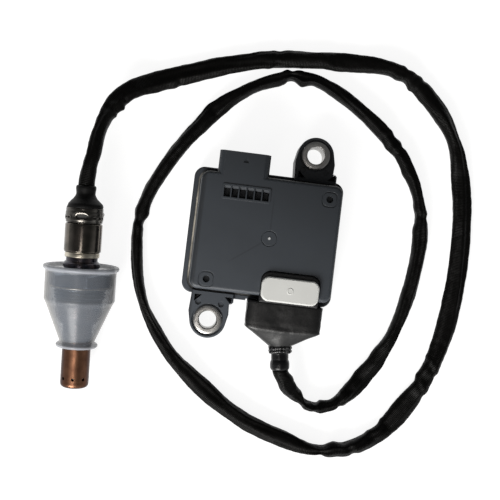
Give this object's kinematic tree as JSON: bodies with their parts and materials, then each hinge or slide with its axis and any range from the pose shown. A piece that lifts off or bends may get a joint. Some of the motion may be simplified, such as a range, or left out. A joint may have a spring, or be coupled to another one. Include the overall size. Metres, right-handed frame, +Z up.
{
  "type": "nitrogen oxide sensor",
  "caption": "Exhaust gas sensor: control unit with connector shroud and mounting ears, a sleeved lead and a threaded probe under its translucent cap.",
  "frame": {"origin": "centre of the control unit's flat back face, which is on the ground", "axes": "+X along the control unit's long side, +Y towards its connector's mouth, +Z up, out of the cover, along the sleeves in the mounting ears"},
  "size_m": [0.2024, 0.1988, 0.0351],
  "materials": {
    "case_plastic": "moulded, faint texture",
    "sealant": "cured bead",
    "bush_steel": "turned",
    "board": "lacquered",
    "chip_resin": "moulded",
    "capacitor_can": "drawn",
    "pin_metal": "plated",
    "plug_plastic": "moulded",
    "white_plastic": "moulded",
    "wire_jacket": "extruded",
    "boot_rubber": "moulded",
    "sleeve_plastic": "shrunk",
    "lead_sleeving": "woven, loose, satin",
    "grommet_rubber": "moulded",
    "ferrule_steel": "polished dark steel",
    "filter_polymer": "porous",
    "tube_steel": "polished dark steel",
    "shell_steel": "turned",
    "nut_steel": "turned",
    "gasket_metal": "pressed",
    "ceramic": "fired",
    "talc": "pressed powder",
    "element_ceramic": "fired",
    "copper_steel": "heat tinted, copper brown",
    "clear_polymer": "milky translucent"
  },
  "bodies": {
    "sensor_unit": {"case_base": "case_plastic", "case_cover": "case_plastic", "case_sealant": "sealant", "bush_upper": "bush_steel", "bush_lower": "bush_steel", "circuit_board": "board", "board_chips": "chip_resin", "board_capacitors": "capacitor_can", "connector_pins": "pin_metal", "lead_header_pins": "pin_metal", "lead_plug": "plug_plastic", "plug_lock_cap": "white_plastic", "lead_terminals": "pin_metal", "lead_wires": "wire_jacket", "lead_boot": "boot_rubber", "boot_collar": "boot_rubber", "neck_sleeve": "sleeve_plastic", "lead_cable": "lead_sleeving", "probe_grommet": "grommet_rubber", "vent_ferrule": "ferrule_steel", "vent_filter": "filter_polymer", "probe_tube": "tube_steel", "probe_wires": "wire_jacket", "contact_block": "ceramic", "contact_springs": "pin_metal", "probe_shell": "shell_steel", "upper_insulator": "ceramic", "talc_packing": "talc", "lower_insulator": "ceramic", "sensor_element": "element_ceramic", "inner_protector": "shell_steel", "outer_protector": "copper_steel", "protective_cap": "clear_polymer"},
    "gland_nut": {"gland_nut": "nut_steel", "seat_gasket": "gasket_metal"}
  },
  "joints": [
    {"name": "nut_spin", "type": "hinge", "parent": "sensor_unit", "child": "gland_nut", "pos_m": [-0.08289, -0.02961, 0.01717], "axis": [0.0487, -0.9956, -0.0803], "continuous": true}
  ]
}
